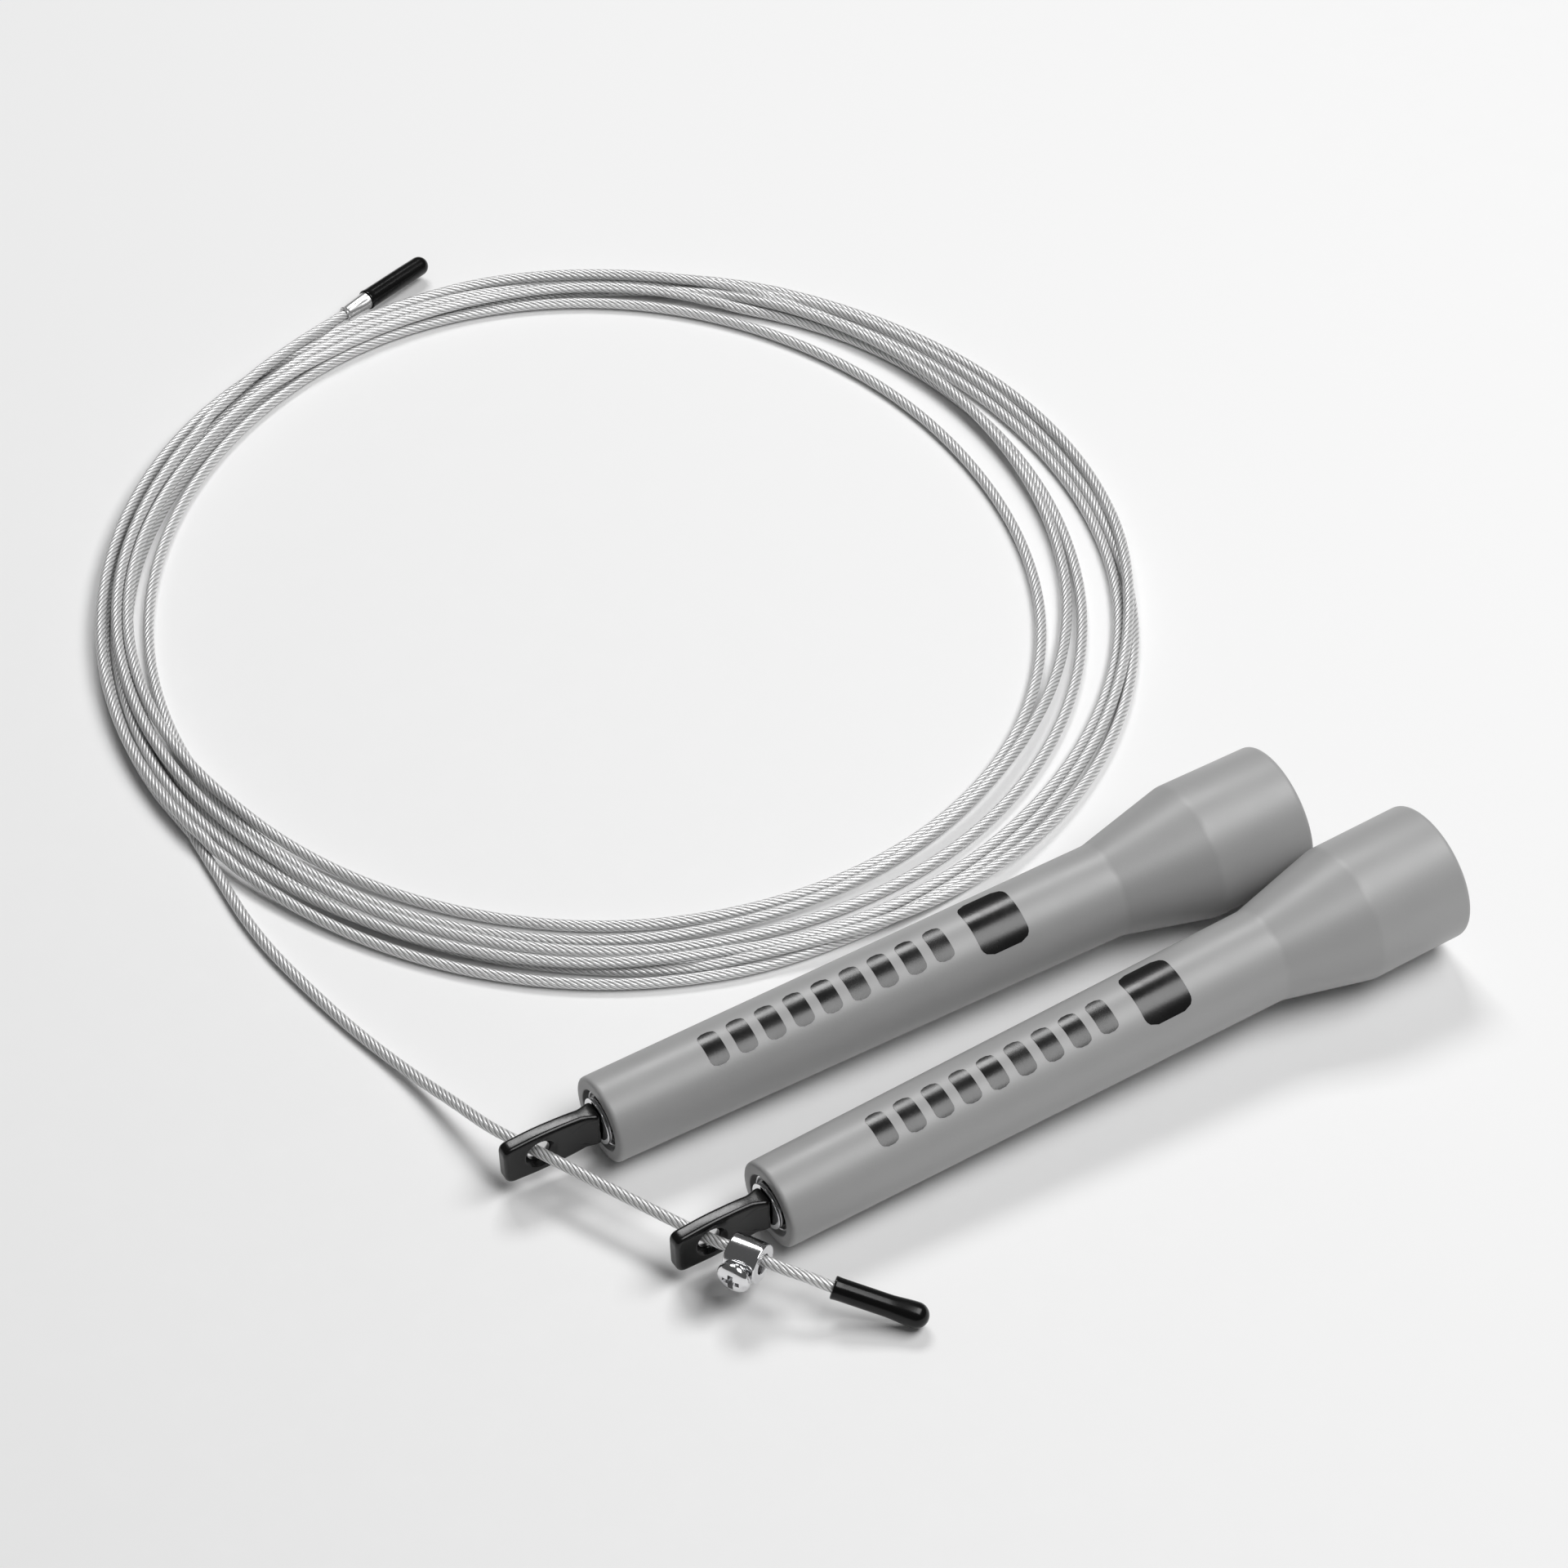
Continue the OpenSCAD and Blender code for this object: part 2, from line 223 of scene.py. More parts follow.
CRIMP = grained("crimped_aluminium", (0.72, 0.72, 0.72), (0.26, 0.42), 0.25, 0.012, 0.08,
                stretch=(4, 1, 1), metal=0.9)
CABLE = cable_finish()

# ---- Mesh helpers -------------------------------------------------------------------------


SHARP = 32


def closed_mesh(name, points, faces):
    """A mesh from millimetre points, with no doubled points and its faces turned outwards."""
    mesh = bpy.data.meshes.new(name)
    mesh.from_pydata((np.asarray(points, float) * MM).tolist(), [], faces)
    shell = bmesh.new()
    shell.from_mesh(mesh)
    bmesh.ops.remove_doubles(shell, verts=shell.verts, dist=1e-7)
    bmesh.ops.recalc_face_normals(shell, faces=shell.faces)
    shell.to_mesh(mesh)
    shell.free()
    return mesh


def smoothed(mesh, sharp=SHARP):
    """Smooth shading that keeps edges sharper than so many degrees."""
    mesh.shade_smooth()
    mesh.set_sharp_from_angle(angle=math.radians(sharp))


def piece(name, body, material, points, faces, place=Matrix.Identity(4), sharp=SHARP):
    """A mesh from millimetre points, put in place and riding on its body."""
    mesh = closed_mesh(name, points, faces)
    smoothed(mesh, sharp)
    mesh.materials.append(material)
    made = add(name, mesh)
    made.matrix_world = place
    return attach(made, body)


def stands_for(made, slot, *nodes):
    """made is shown in place of these CAD nodes."""
    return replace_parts(made, *nodes)


def joined(*parts):
    """Points and faces of several shapes as one."""
    points, faces, start = [], [], 0
    for part_points, part_faces in parts:
        points += [tuple(p) for p in part_points]
        faces += [[start + i for i in face] for face in part_faces]
        start += len(part_points)
    return points, faces


def rounded(corners, steps=5):
    """Closed outline through (across, along, cut) corners. A corner with a cut is rounded from that
    far before it to that far after it."""
    made = []
    for i, (a, b, cut) in enumerate(corners):
        p = np.array((a, b), float)
        before = np.array(corners[i - 1][:2]) - p
        after = np.array(corners[(i + 1) % len(corners)][:2]) - p
        if cut:
            start = p + before / np.linalg.norm(before) * cut
            end = p + after / np.linalg.norm(after) * cut
            for t in np.linspace(0, 1, steps + 1):
                made.append((1 - t) ** 2 * start + 2 * t * (1 - t) * p + t * t * end)
        else:
            made.append(p)
    return made


def turned(outline, sides=96, closed=True):
    """Outline of (radius, station) points turned about X."""
    n = len(outline)
    angles = [math.tau * j / sides for j in range(sides)]
    points = [(x, r * math.cos(a), r * math.sin(a)) for r, x in outline for a in angles]
    faces = [
        (i * sides + j, (i + 1) % n * sides + j,
         (i + 1) % n * sides + (j + 1) % sides, i * sides + (j + 1) % sides)
        for i in range(n if closed else n - 1) for j in range(sides)
    ]
    return points, faces


def loops(rings):
    """Skin over rings of equally many points, the last joined to the first."""
    count, n = len(rings), len(rings[0])
    points = [tuple(p) for ring in rings for p in ring]
    faces = [
        (i * n + j, (i + 1) % count * n + j, (i + 1) % count * n + (j + 1) % n, i * n + (j + 1) % n)
        for i in range(count) for j in range(n)
    ]
    return points, faces


def frame_along(at, direction):
    """Frame at a millimetre point whose X runs along direction and whose Y is level."""
    x = Vector(direction).normalized()
    y = Vector((0, 0, 1)).cross(x).normalized()
    made = Matrix((x, y, x.cross(y))).transposed().to_4x4()
    made.translation = Vector(at) * MM
    return made


def carve(made, cutter_points, cutter_faces):
    """Cuts a closed millimetre shape, in made's own frame, out of made."""
    cutter = add("cutter", closed_mesh("cutter", cutter_points, cutter_faces))
    cutter.matrix_world = made.matrix_world.copy()
    cut = made.modifiers.new("cut", "BOOLEAN")
    cut.object, cut.operation, cut.solver = cutter, "DIFFERENCE", "EXACT"
    bpy.context.view_layer.update()
    result = bpy.data.meshes.new_from_object(
        made.evaluated_get(bpy.context.evaluated_depsgraph_get()))
    made.modifiers.clear()
    made.data = result
    bpy.data.objects.remove(cutter)
    smoothed(result)


# ---- Cable --------------------------------------------------------------------------------

CABLE_D = 2.4
FLOOR_Z = CABLE_D / 2
# Coil to near end, as in the part's source
LEAD = np.array([
    [-105.8, 136, 1.2], [-106.6, 124, 1.2], [-107.5, 110, 1.2], [-107.2, 98, 1.2],
    [-105.6, 85, 1.2], [-103.4, 72, 1.2], [-101, 61, 1.5], [-98.6, 50, 2.7], [-96.8, 40, 4.9],
    [-95.2, 30, 7.2], [-93.3, 23.6, 8.3], [-90.8, 18.2, 8.5], [-82.3, 0, 8.5],
    [-73.8, -18.2, 8.9], [-71.6, -22.7, 9.4], [-69.1, -27, 9.5], [-65.6, -33, 9.5],
    [-62.2, -36.9, 8.7], [-58.6, -40.3, 7], [-53, -45.7, 5.1], [-47.8, -50.8, 3.4]])
# Top of the coil to the far end
TAIL = np.array([
    [-45, 246, 6], [-31, 252.7, 6], [-18, 257.6, 5.6], [-5.4, 261.7, 4.7], [3.8, 264.6, 4.3],
    [18, 269.1, 3.7]])
CLAMP_AT, NEAR_MOUTH, NEAR_AIM = LEAD[15], LEAD[18], LEAD[20]
FAR_MOUTH, FAR_AIM = TAIL[4], TAIL[5]
CAP_LEN, CAP_FLOOR = 19.3, 3.0
# How the coil lies: for each turn clockwise from its left side, the cable's distance from the
# coil's middle and about how many strands lie under it, every STATION degrees
TURNS = [
    ([109.5, 110.5, 112, 112, 112, 111.5, 112, 109, 107.5, 106.5, 109, 108.5],
     [0, 0, 0, 0, 0, 0, 0, 1, 0, 0, 0, 0]),
    ([110, 111, 112.5, 111.5, 110, 107, 106, 107.5, 105, 104, 105.5, 105.5],
     [1, 1, 1.2, 1, 1, 0, 0, 0, 0, 0, 1, 1]),
    ([106.5, 108, 108.5, 109.5, 109.5, 108, 108, 110, 111, 108.5, 104.5, 104],
     [0, 0, 0, 1, 0, 1, 0, 0, 0, 1, 0, 0]),
    ([104, 106, 106, 109.5, 107, 104, 98.5, 96, 94, 95, 96.5, 99],
     [0, 0, 0, 0, 0, 1, 0.7, 0, 1, 0.5, 0, 0]),
    ([100, 101, 103.5, 107, 103, 95, 89.5, 90, 92, 92, 92.5, 94.5],
     [0, 0, 0, 0, 0, 0, 0, 0, 0, 0, 0, 0]),
    ([100.5, 106, 106.5, 107.5, 106.5, 104, 100, 99, 99.5, 99.5, 99.5, 101.5],
     [1, 1, 1, 1, 1, 0, 0, 0, 0, 0, 0, 0.5]),
    ([104, 108, 108.5], [1, 1.2, 2]),
]
LAYER = 2.2
STATION = 30
# Laying the turns down: rounds of settling, rounds after which strands no longer go back to their
# place, degrees that a strand bends over, and the share of each correction made in a round
ROUNDS, FREE_ROUNDS, BEND = 700, 640, 4
HOMING, STRAIGHTEN, LAST_STRAIGHTEN = 0.04, 0.25, 0.03


def smooth_route(route, steps):
    """Smooth curve through the points, with steps parts between two of them."""
    route = np.asarray(route, float)
    ends = np.vstack([route[:1], route, route[-1:]])
    made = []
    for p0, p1, p2, p3 in zip(ends, ends[1:], ends[2:], ends[3:]):
        for t in np.arange(steps) / steps:
            made.append(0.5 * (2 * p1 + (p2 - p0) * t + (2 * p0 - 5 * p1 + 4 * p2 - p3) * t * t
                               + (3 * p1 - p0 - 3 * p2 + p3) * t ** 3))
    return np.array(made + [route[-1]])


def evenly(line, step):
    """The line with points step apart."""
    along = np.concatenate([[0], np.cumsum(np.linalg.norm(np.diff(line, axis=0), axis=1))])
    at = np.linspace(0, along[-1], max(2, round(along[-1] / step) + 1))
    return np.stack([np.interp(at, along, line[:, k]) for k in range(3)], axis=1)


def polar(line, middle):
    """Degrees travelled clockwise from the coil's left side, and radius, of a line's points."""
    side = line[:, :2] - middle
    turn = (180 - np.degrees(np.arctan2(side[:, 1], side[:, 0])) + 180) % 360 - 180
    return turn, np.hypot(side[:, 0], side[:, 1])


def settle(r, z, free, gap):
    """Lays the turns down: one value a degree of travel. Strands that meet at a station push each
    other gap apart, the cable's stiffness evens them out, and each goes back towards its place."""
    r_home, z_home = r.copy(), z.copy()
    share = free.astype(float)
    for i in range(ROUNDS):
        last = i > FREE_ROUNDS
        for line, home in ((r, r_home), (z, z_home)):
            if not last:
                line += HOMING * (home - line) * share
            middle = (line[2 * BEND:] + line[:-2 * BEND]) / 2
            line[BEND:-BEND] += (LAST_STRAIGHTEN if last else STRAIGHTEN) * (
                middle - line[BEND:-BEND]) * share[BEND:-BEND]
        for k in range(360, len(r), 360):
            dr, dz = r[k:] - r[:-k], z[k:] - z[:-k]
            far = np.maximum(np.hypot(dr, dz), 1e-6)
            push = np.clip(gap - far, 0, None) / far / np.maximum(share[k:] + share[:-k], 1)
            for line, d in ((r, dr), (z, dz)):
                line[k:] += d * push * share[k:]
                line[:-k] -= d * push * share[:-k]
        z[free] = np.maximum(z[free], FLOOR_Z)
    return r, z


def cable_line():
    """Centreline from inside the near cap to inside the far one."""
    low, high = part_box("cable_coil")
    middle = np.array((low + high)[:2]) / 2 / MM
    lead, tail = smooth_route(LEAD, 12), smooth_route(TAIL, 12)
    radii = [r for turn in TURNS for r in turn[0]]
    layers = [n for turn in TURNS for n in turn[1]]
    coil = smooth_route(np.array([radii, layers]).T, STATION)
    travel = np.arange(len(coil))
    before, after = 15, 24
    lead_turn, lead_r = polar(lead, middle)
    tail_turn, tail_r = polar(tail, middle)
    tail_turn += 360 * (len(TURNS) - 1)
    ahead = np.arange(-before, 0)
    behind = np.arange(len(coil), len(coil) + after)
    r = np.concatenate([np.interp(ahead, lead_turn[::-1], lead_r[::-1]), coil[:, 0],
                        np.interp(behind, tail_turn, tail_r)])
    z = np.concatenate([np.interp(ahead, lead_turn[::-1], lead[::-1, 2]),
                        FLOOR_Z + LAYER * coil[:, 1], np.interp(behind, tail_turn, tail[:, 2])])
    free = np.zeros(len(r), bool)
    free[before + 1:-after - 4] = True
    r, z = settle(r, z, free, CABLE_D + 0.03)
    r, z = r[before:-after], z[before:-after]
    angle = np.radians(180 - travel)
    turns = np.stack([middle[0] + r * np.cos(angle), middle[1] + r * np.sin(angle), z], axis=1)
    return evenly(smooth_route(np.vstack([lead[::-1], turns, tail]), 4), RING_STEP)


RING_STEP = 1.15
RING_SIDES = 3 * STRANDS
GROOVE = 0.05


def cable_skin(line):
    """Tube along the line whose strands stand out a little and wind round it.
    Returns its points, faces and the UV of each face's corners."""
    ahead = np.gradient(line, axis=0)
    ahead /= np.linalg.norm(ahead, axis=1)[:, None]
    side = np.cross(ahead[0], (0, 0, 1))
    points = []
    for i, (at, t) in enumerate(zip(line, ahead)):
        side = side - t * (side @ t)
        side /= np.linalg.norm(side)
        up = np.cross(side, t)
        for j in range(RING_SIDES):
            a = math.tau * (j / RING_SIDES - i * RING_STEP / LAY)
            r = CABLE_D / 2 - GROOVE * (1 - math.cos(math.tau * j / 3)) / 2
            points.append(at + r * (math.cos(a) * side + math.sin(a) * up))
    faces, uvs = [], []
    for i in range(len(line) - 1):
        for j in range(RING_SIDES):
            k = (j + 1) % RING_SIDES
            faces.append((i * RING_SIDES + j, (i + 1) * RING_SIDES + j,
                          (i + 1) * RING_SIDES + k, i * RING_SIDES + k))
            uvs += [(u / 3 + 0.5, v * RING_STEP)
                    for u, v in ((j, i), (j, i + 1), (j + 1, i + 1), (j + 1, i))]
    last = (len(line) - 1) * RING_SIDES
    faces += [tuple(range(RING_SIDES))[::-1], tuple(last + j for j in range(RING_SIDES))]
    uvs += [(0.0, 0.0)] * (2 * RING_SIDES)
    return points, faces, uvs


def add_cable():
    """The whole cable as one piece. Returns it and its centreline in metres."""
    line = cable_line()
    points, faces, uvs = cable_skin(line)
    mesh = bpy.data.meshes.new("cable")
    mesh.from_pydata((np.array(points) * MM).tolist(), [], faces)
    mesh.uv_layers.new(name="strands").data.foreach_set("uv", np.array(uvs, np.float32).ravel())
    mesh.shade_smooth()
    mesh.materials.append(CABLE)
    made = add("cable", mesh)
    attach(made, "cable")
    return stands_for(made, "coated_cable", "cable_coil", "cable_lead", "cable_tail"), line * MM


cable, cable_path = add_cable()

# ---- Ends of the cable --------------------------------------------------------------------


def end_cap(side, mouth, towards, tip):
    """Dipped vinyl cap: rolled mouth, straight body and a round tip of its own radius."""
    bore, r = CABLE_D / 2 + 0.05, 2.25
    tip_at = CAP_LEN - tip
    swell = [(r + (tip - r) * (1 - math.cos(math.pi * t)) / 2, tip_at - 6 * (1 - t), 0)
             for t in np.linspace(0, 0.95, 7)]
    dome = [(tip * math.cos(a), tip_at + tip * math.sin(a), 0)
            for a in np.linspace(0, math.pi / 2, 14)]
    outline = rounded(
        [(0, CAP_LEN - CAP_FLOOR, 0), (bore, CAP_LEN - CAP_FLOOR, 0.3), (bore, 0, 0.25),
         (r + 0.12, 0, 0.4), (r, 1.3, 0.4)] + swell + dome)
    made = piece(side + "_end_cap_skin", "cable", VINYL, *turned(outline, 64, closed=False),
                 frame_along(mouth, towards - mouth))
    return stands_for(made, "black_vinyl", side + "_end_cap")


def ferrule():
    """Sleeve crimped on the cable: a plain collar, then flats that widen towards the cap."""
    bore, length, sides, rows = CABLE_D / 2 + 0.05, 7.0, 64, 26
    rings = []
    for t in np.linspace(0, 1, rows):
        flare = t * t * (3 - 2 * t)
        lip = 0.16 * math.exp(-((t - 0.04) / 0.03) ** 2)
        ring = []
        for j in range(sides):
            a = math.tau * j / sides
            flat = 1 - 0.13 * flare * (1 - abs(math.cos(2 * a))) * (1 - t ** 8)
            r = (bore + 0.3 + 0.45 * flare + lip) * flat
            ring.append((-length * (1 - t), r * math.cos(a), r * math.sin(a)))
        rings.append(ring)
    for x in (0.0, -length):
        rings.append([(x, bore * math.cos(math.tau * j / sides),
                       bore * math.sin(math.tau * j / sides)) for j in range(sides)])
    made = piece("far_ferrule_sleeve", "cable", CRIMP, *loops(rings),
                 frame_along(FAR_MOUTH, FAR_AIM - FAR_MOUTH))
    return stands_for(made, "crimped_aluminium", "far_ferrule")


near_cap = end_cap("near", NEAR_MOUTH, NEAR_AIM, 2.6)
far_cap = end_cap("far", FAR_MOUTH, FAR_AIM, 2.2)
sleeve = ferrule()

# ---- Clamp --------------------------------------------------------------------------------

CLAMP_SHIFT = 0.85
BARREL_R, BARREL_LEN, BARREL_BORE = 4.1, 7.0, 2.1
SCREW_R, HEAD_R, SCREW_TIP, HEAD_AT, HEAD_T = 2.0, 3.5, 0.4, 4.8, 2.1
THREAD = 0.7


def clamp_frame():
    """X along the cable and Y out towards the screw's head."""
    x = -Vector(joints["clamp_slide"]["axis"]).normalized()
    y = Vector(joints["screw_out"]["axis"]).normalized()
    made = Matrix((x, y, x.cross(y))).transposed().to_4x4()
    made.translation = Vector(CLAMP_AT) * MM + y * CLAMP_SHIFT * MM
    return made


def swapped(shape):
    """The shape turned about Y instead of X."""
    points, faces = shape
    return [(z, x, y) for x, y, z in points], faces


def barrel():
    """Short tube across the cable, with a bevelled screw hole in its side."""
    half = BARREL_LEN / 2
    outline = rounded([(BARREL_BORE, -half, 0.3), (BARREL_R, -half, 0.45),
                       (BARREL_R, half, 0.45), (BARREL_BORE, half, 0.3)])
    made = piece("clamp_barrel_shell", "clamp", CHROME, *turned(outline, 128), clamp_frame())
    rim = 0.35
    hole = [(0, 0.5), (SCREW_R + 0.08, 0.5), (SCREW_R + 0.08, BARREL_R - rim),
            (SCREW_R + 0.08 + 1.5 * rim, BARREL_R + 0.5 * rim), (0, BARREL_R + 0.5 * rim)]
    carve(made, *swapped(turned(hole, 64, closed=False)))
    return stands_for(made, "chrome_clamp", "clamp_barrel")


def screw():
    """Pan-head machine screw with a cross recess."""
    turns = int((HEAD_AT - SCREW_TIP - 0.4) / THREAD)
    threads = []
    for i in range(turns):
        base = SCREW_TIP + 0.3 + i * THREAD
        threads += [(SCREW_R - 0.3, base), (SCREW_R, base + 0.3 * THREAD),
                    (SCREW_R, base + 0.45 * THREAD), (SCREW_R - 0.3, base + 0.85 * THREAD)]
    top = HEAD_AT + HEAD_T
    crown = [(HEAD_R * math.cos(a) ** 0.7, top - 1.35 * (1 - math.sin(a)), 0)
             for a in np.linspace(0.05, math.pi / 2 - 0.001, 14)]
    head = rounded([(SCREW_R - 0.3, HEAD_AT, 0), (HEAD_R - 0.12, HEAD_AT, 0.25),
                    (HEAD_R, HEAD_AT + 0.4, 0.2)] + crown)[1:]
    outline = [(0, SCREW_TIP), (SCREW_R - 0.5, SCREW_TIP)] + threads + \
        [(SCREW_R - 0.3, HEAD_AT)] + [tuple(p) for p in head] + [(0, top)]
    made = piece("clamp_screw_pan_head", "screw", CHROME,
                 *swapped(turned(outline, 96, closed=False)), clamp_frame())
    for wide, long in ((0.66, 2.2), (2.2, 0.66)):
        deep, above = 1.5, 0.4
        corners = [(x * wide * (0.45 if y < 0 else 1), top + y, z * long * (0.45 if y < 0 else 1))
                   for y in (-deep, above) for x, z in ((-1, -1), (1, -1), (1, 1), (-1, 1))]
        faces = [(0, 1, 2, 3), (7, 6, 5, 4)] + [
            (i, (i + 1) % 4, 4 + (i + 1) % 4, 4 + i) for i in range(4)]
        carve(made, corners, faces)
    return stands_for(made, "chrome_clamp", "clamp_screw")


clamp = [barrel(), screw()]

# ---- Handles ------------------------------------------------------------------------------

NOSE_R, WAIST_R, FLARE_R, WALL = 9.1, 9.9, 14.5, 2.0
HANDLE_LEN, CONE_START, FLARE_START = 157.6, 116.0, 136.0
BEARING_R, SHAFT_R, RING_WALL = 6.5, 2.45, 1.0
BEARING_FRONT, BEARING_BACK = 0.9, 4.9
WASHER_R, WASHER_FRONT, WASHER_BACK = 4.9, -0.5, 0.5
SHAFT_END = 11.7


def handle_frame(side):
    """X from the middle of the nose's face to the rear, Y level."""
    spin = joints["handle_spin_" + side]
    return frame_along(Vector(spin["pos_m"]) / MM, spin["axis"])


def grip(side):
    """Hollow handle: nose with the bearing's seat, body that widens slowly, cone and flare."""
    core_r, core_at, shoulder_r, shoulder_at = 6.8, 8.9, 5.2, 6.9
    outline = rounded([
        (BEARING_R, 0, 0.3), (NOSE_R, 0, 1.0), (WAIST_R, CONE_START, 0.7),
        (FLARE_R, FLARE_START, 0.7), (FLARE_R, HANDLE_LEN, 1.1),
        (FLARE_R - WALL, HANDLE_LEN, 0.5), (FLARE_R - WALL, FLARE_START, 1.5),
        (WAIST_R - WALL, CONE_START, 1.5), (core_r, core_at, 0.5), (shoulder_r, shoulder_at, 0),
        (shoulder_r, BEARING_BACK, 0), (BEARING_R, BEARING_BACK, 0)], steps=6)
    made = piece(f"grip_{side}_body", "handle_" + side, GREY, *turned(outline, 160),
                 handle_frame(side), sharp=40)
    return stands_for(made, "grey_handle_plastic", "grip_" + side)


def printed_bar(middle, wide, tall, corner, steps=10):
    """Thin rounded bar lying on the grip, a little to the near side of its top."""
    lift, facing = 0.05, math.radians(104)
    rows = []
    for v in np.linspace(-1, 1, 2 * steps + 1):
        over = max(0.0, abs(v) * tall / 2 - (tall / 2 - corner))
        half = wide / 2 - corner + math.sqrt(max(0.0, corner ** 2 - over ** 2))
        rows.append([(u * half, v * tall / 2, lift) for u in np.linspace(-1, 1, 2 * steps + 1)])
    points = []
    for row in rows:
        skirted = [(*row[0][:2], -lift)] + row + [(*row[-1][:2], -lift)]
        for s, across, rise in skirted:
            r = NOSE_R + (WAIST_R - NOSE_R) * (middle + s) / CONE_START
            a = facing + across / r
            points.append((middle + s, (r + rise) * math.cos(a), (r + rise) * math.sin(a)))
    n = len(rows[0]) + 2
    faces = [(i * n + j, (i + 1) * n + j, (i + 1) * n + j + 1, i * n + j + 1)
             for i in range(len(rows) - 1) for j in range(n - 1)]
    return points, faces


def printed_bars(side):
    """A plain row of bars and one long block, in black gloss print."""
    bars = [printed_bar(25 + 6.4 * i, 4.2, 7.8, 1.4) for i in range(9)]
    bars.append(printed_bar(89, 11, 13.5, 2.4))
    return piece(f"print_{side}", "handle_" + side, PRINT, *joined(*bars), handle_frame(side))


def eye_ring(angles, hole_at, inset):
    """Side view of the eye plate drawn in by inset, at these directions from the cable hole."""
    tip, half, root = -21.4, 4.65, WASHER_FRONT
    corners = rounded([(tip, -half, 1.9), (tip, half, 1.9), (-13.6, 5.15, 2.5), (-6.7, 4.85, 2.5),
                       (root, 4.0, 0.6), (root, -4.0, 0.6), (-6.7, -4.85, 2.5),
                       (-13.6, -5.15, 2.5)], steps=8)
    closed = np.array(corners + corners[:1])
    at = np.linspace(0, len(closed) - 1, 1200)
    dense = np.stack([np.interp(at, np.arange(len(closed)), closed[:, k]) for k in (0, 1)], axis=1)
    side = np.roll(dense, -3, axis=0) - np.roll(dense, 3, axis=0)
    side /= np.maximum(np.linalg.norm(side, axis=1), 1e-9)[:, None]
    inward = np.stack([side[:, 1], -side[:, 0]], axis=1)
    inward *= np.sign(np.sum(inward * (np.array([hole_at, 0]) - dense), axis=1))[:, None]
    dense = dense + inward * inset
    turn = np.arctan2(dense[:, 1], dense[:, 0] - hole_at)
    order = np.argsort(turn)
    return [(float(np.interp(a, turn[order], dense[order, 0], period=math.tau)),
             float(np.interp(a, turn[order], dense[order, 1], period=math.tau))) for a in angles]


def eye_plate():
    """Flat plate with a countersunk hole for the cable and rounded edges, thicker at its root."""
    thick, hole_at, hole_r, sink_r, sink, edge = 3.3, -13.6, 2.4, 3.4, 1.0, 0.9
    coarse = np.linspace(-math.pi, math.pi, 260, endpoint=False)
    fine = np.linspace(-0.5, 0.5, 90)
    angles = np.unique(np.round(np.concatenate([coarse, fine]), 5))

    def level(x):
        """Half thickness of the plate at a station."""
        t = min(1.0, max(0.0, (x + 4.2) / 3.2))
        return thick / 2 + 0.75 * t * t * (3 - 2 * t)

    def circle(r, y):
        return [(hole_at + r * math.cos(a), y, r * math.sin(a)) for a in angles]

    def outer(inset, drop):
        return [(x, level(x) - drop, z) for x, z in eye_ring(angles, hole_at, inset)]

    face = thick / 2
    near = [circle(hole_r, face - sink - 0.25), circle(hole_r + 0.06, face - sink - 0.06),
            circle(hole_r + 0.2, face - sink + 0.1), circle(sink_r - 0.12, face - 0.16),
            circle(sink_r + 0.06, face - 0.04), circle(sink_r + 0.25, face),
            circle(sink_r + 0.5, face)]
    inner, outline = circle(sink_r + 0.5, face), outer(edge + 0.3, 0)
    for t in (0.25, 0.5, 0.75):
        near.append([(a[0] + (b[0] - a[0]) * t, level(a[0] + (b[0] - a[0]) * t),
                      a[2] + (b[2] - a[2]) * t) for a, b in zip(inner, outline)])
    near += [outline, outer(edge + 0.08, 0)]
    for a in np.linspace(0, math.pi / 2, 8):
        near.append(outer(edge * (1 - math.sin(a)), edge * (1 - math.cos(a))))
    far = [[(x, -y, z) for x, y, z in ring] for ring in near]
    return loops(near + far[::-1])


def shaft():
    """Round shaft whose rear end is threaded for the lock nut."""
    outline = [(0, WASHER_FRONT), (SHAFT_R, WASHER_FRONT), (SHAFT_R, BEARING_BACK + 0.8)]
    pitch, depth = 0.8, 0.35
    for i in range(int((SHAFT_END - BEARING_BACK - 1.4) / pitch)):
        base = BEARING_BACK + 0.9 + i * pitch
        outline += [(SHAFT_R - depth, base + 0.1), (SHAFT_R, base + 0.4), (SHAFT_R, base + 0.5)]
    outline += [(SHAFT_R - depth, SHAFT_END - 0.5), (SHAFT_R - depth - 0.4, SHAFT_END),
                (0, SHAFT_END)]
    return turned(outline, 64, closed=False)


def eye(side):
    """Swivel eye: plate and shaft in one."""
    made = piece(f"swivel_eye_{side}_plate", "eye_" + side, BLACK, *joined(eye_plate(), shaft()),
                 handle_frame(side))
    return stands_for(made, "black_gloss_plate", "swivel_eye_" + side)


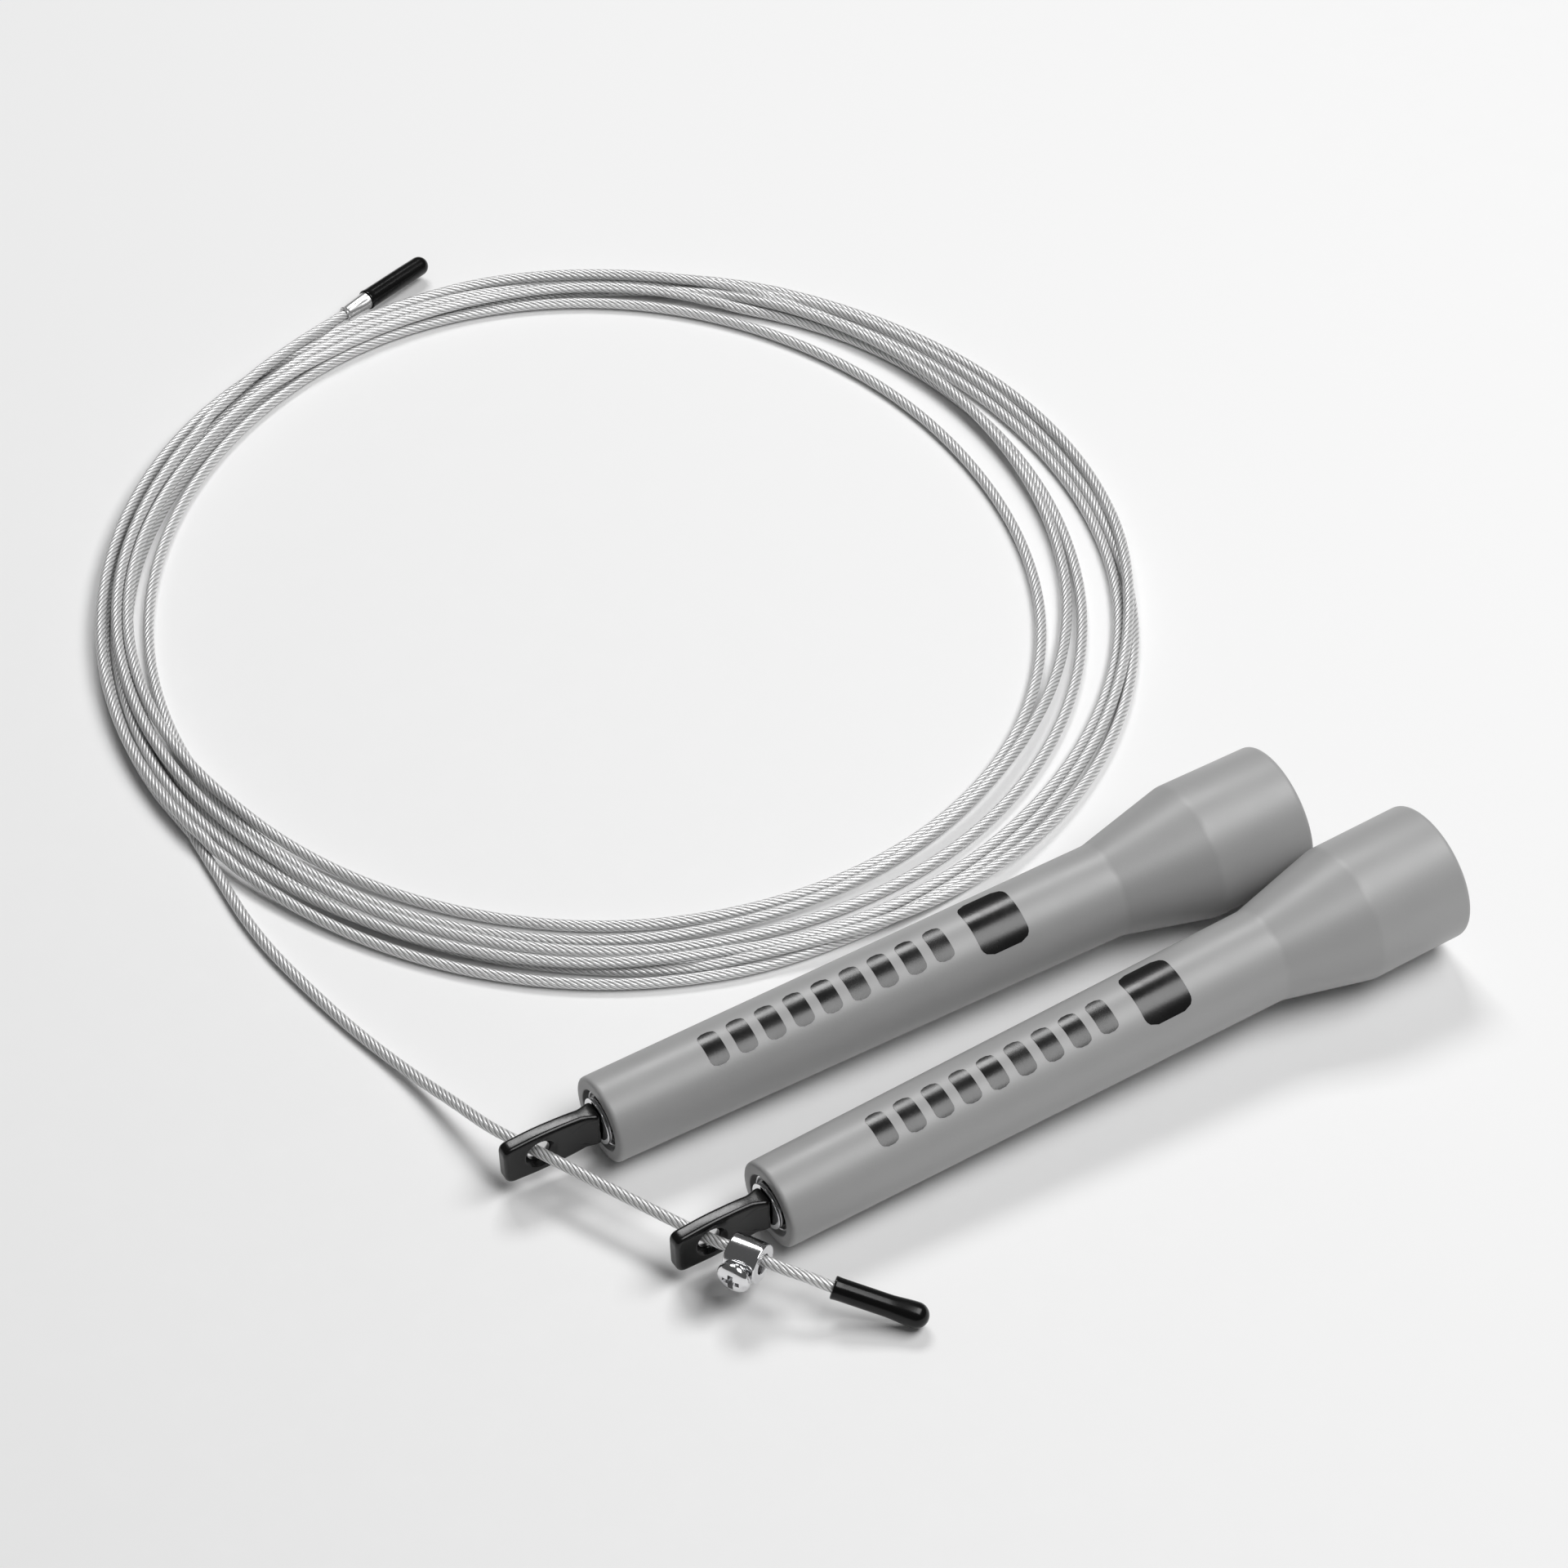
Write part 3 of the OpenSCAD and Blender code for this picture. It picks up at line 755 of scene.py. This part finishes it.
def bearing(side):
    """Rings, shields, spacer and front washer, with the small rounds and grooves that catch light."""
    body, eye_body, place = "handle_" + side, "eye_" + side, handle_frame(side)
    front, back = BEARING_FRONT, BEARING_BACK
    inner_edge = BEARING_R - RING_WALL
    lip, land = 0.5, 0.5
    outer = rounded([(inner_edge, front + 0.1, 0.05), (inner_edge + 0.12, front, 0.08),
                     (inner_edge + lip, front, 0.12), (inner_edge + lip + 0.05, front + land, 0.1),
                     (BEARING_R, front + land, 0.1), (BEARING_R, back, 0.3),
                     (inner_edge, back, 0.12)])
    made = piece("bearing_outer_ring_" + side + "_turned", body, STEEL, *turned(outer, 128), place)
    stands_for(made, "bearing_steel", "bearing_outer_ring_" + side)
    reach, step = 3.75, 0.3
    shields = []
    for at, out in ((front + 0.15, 1), (back - 0.15 - step, -1)):
        a, b = (at, at + step) if out == 1 else (at + step, at)
        rise = -0.1 * out
        shields.append(turned([tuple(p) for p in rounded([
            (reach, a, 0.08), (reach + 0.35, a, 0.08), (reach + 0.5, a + rise, 0.08),
            (inner_edge - 0.45, a + rise, 0.08), (inner_edge - 0.3, a, 0.08), (inner_edge, a, 0),
            (inner_edge, b, 0), (reach, b, 0.08)], steps=3)], 128))
    made = piece("bearing_shields_" + side + "_stamped", body, SHIELD, *joined(*shields), place)
    stands_for(made, "dark_shield", "bearing_shields_" + side)
    inner = rounded([(2.5, front, 0.15), (3.5, front, 0.12), (3.5, back, 0.12), (2.5, back, 0.15)])
    made = piece("bearing_inner_ring_" + side + "_turned", eye_body, STEEL, *turned(inner, 96),
                 place)
    stands_for(made, "bearing_steel", "bearing_inner_ring_" + side)
    spacer = rounded([(2.5, WASHER_BACK, 0.1), (3.4, WASHER_BACK, 0.1), (3.4, front, 0.1),
                      (2.5, front, 0.1)], steps=3)
    made = piece("spacer_" + side + "_turned", eye_body, PLATED, *turned(spacer, 96), place)
    stands_for(made, "plated_steel", "spacer_" + side)
    washer = rounded([(2.5, WASHER_FRONT, 0), (WASHER_R, WASHER_FRONT, 0.2),
                      (WASHER_R, -0.02, 0.14), (WASHER_R - 0.35, 0.06, 0.05),
                      (WASHER_R - 0.1, 0.14, 0.1), (WASHER_R - 0.1, WASHER_BACK, 0.15),
                      (2.5, WASHER_BACK, 0)], steps=4)
    made = piece("front_washer_" + side + "_turned", eye_body, STEEL, *turned(washer, 128), place)
    stands_for(made, "plated_steel", "front_washer_" + side)


for side in "ab":
    grip(side)
    printed_bars(side)
    eye(side)
    bearing(side)
    for node, material in (("bearing_cage_", CAGE), ("bearing_balls_", STEEL),
                           ("rear_washer_", PLATED), ("lock_nut_", PLATED),
                           ("lock_nut_insert_", NYLON)):
        kept = frame["nodes"][node + side]
        kept.data.materials.clear()
        kept.data.materials.append(material)

# ---- Floor and light ----------------------------------------------------------------------

floor_finish = grained("pale_floor", (0.9, 0.9, 0.9), (0.6, 0.8), 3.0, 0.01, 0.005)
floor_mesh = bpy.data.meshes.new("floor")
floor_mesh.from_pydata([(x, y, -0.0002) for x, y in ((-6, -6), (6, -6), (6, 6), (-6, 6))], [],
                       [(0, 1, 2, 3)])
floor_mesh.materials.append(floor_finish)
add("floor", floor_mesh)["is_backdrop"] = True

world = bpy.data.worlds.new("studio")
bpy.context.scene.world = world
world.use_nodes = True
background = world.node_tree.nodes["Background"]
background.inputs["Color"].default_value = (1, 1, 1, 1)
background.inputs["Strength"].default_value = 0.09


def softbox(name, subject, offset, size, watts):
    """Rectangular light at an offset from the subject, facing it."""
    lamp = bpy.data.lights.new(name, "AREA")
    lamp.shape, lamp.size, lamp.size_y, lamp.energy = "RECTANGLE", size[0], size[1], watts
    made = add(name, lamp)
    made.location = subject + Vector(offset)
    aim(made, -Vector(offset))


low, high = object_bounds()
middle = (low + high) / 2
softbox("key", middle, (0.45, -0.5, 1.2), (1.2, 0.6), 14)
softbox("back", middle, (0.3, 0.75, 1.15), (0.6, 0.35), 8)
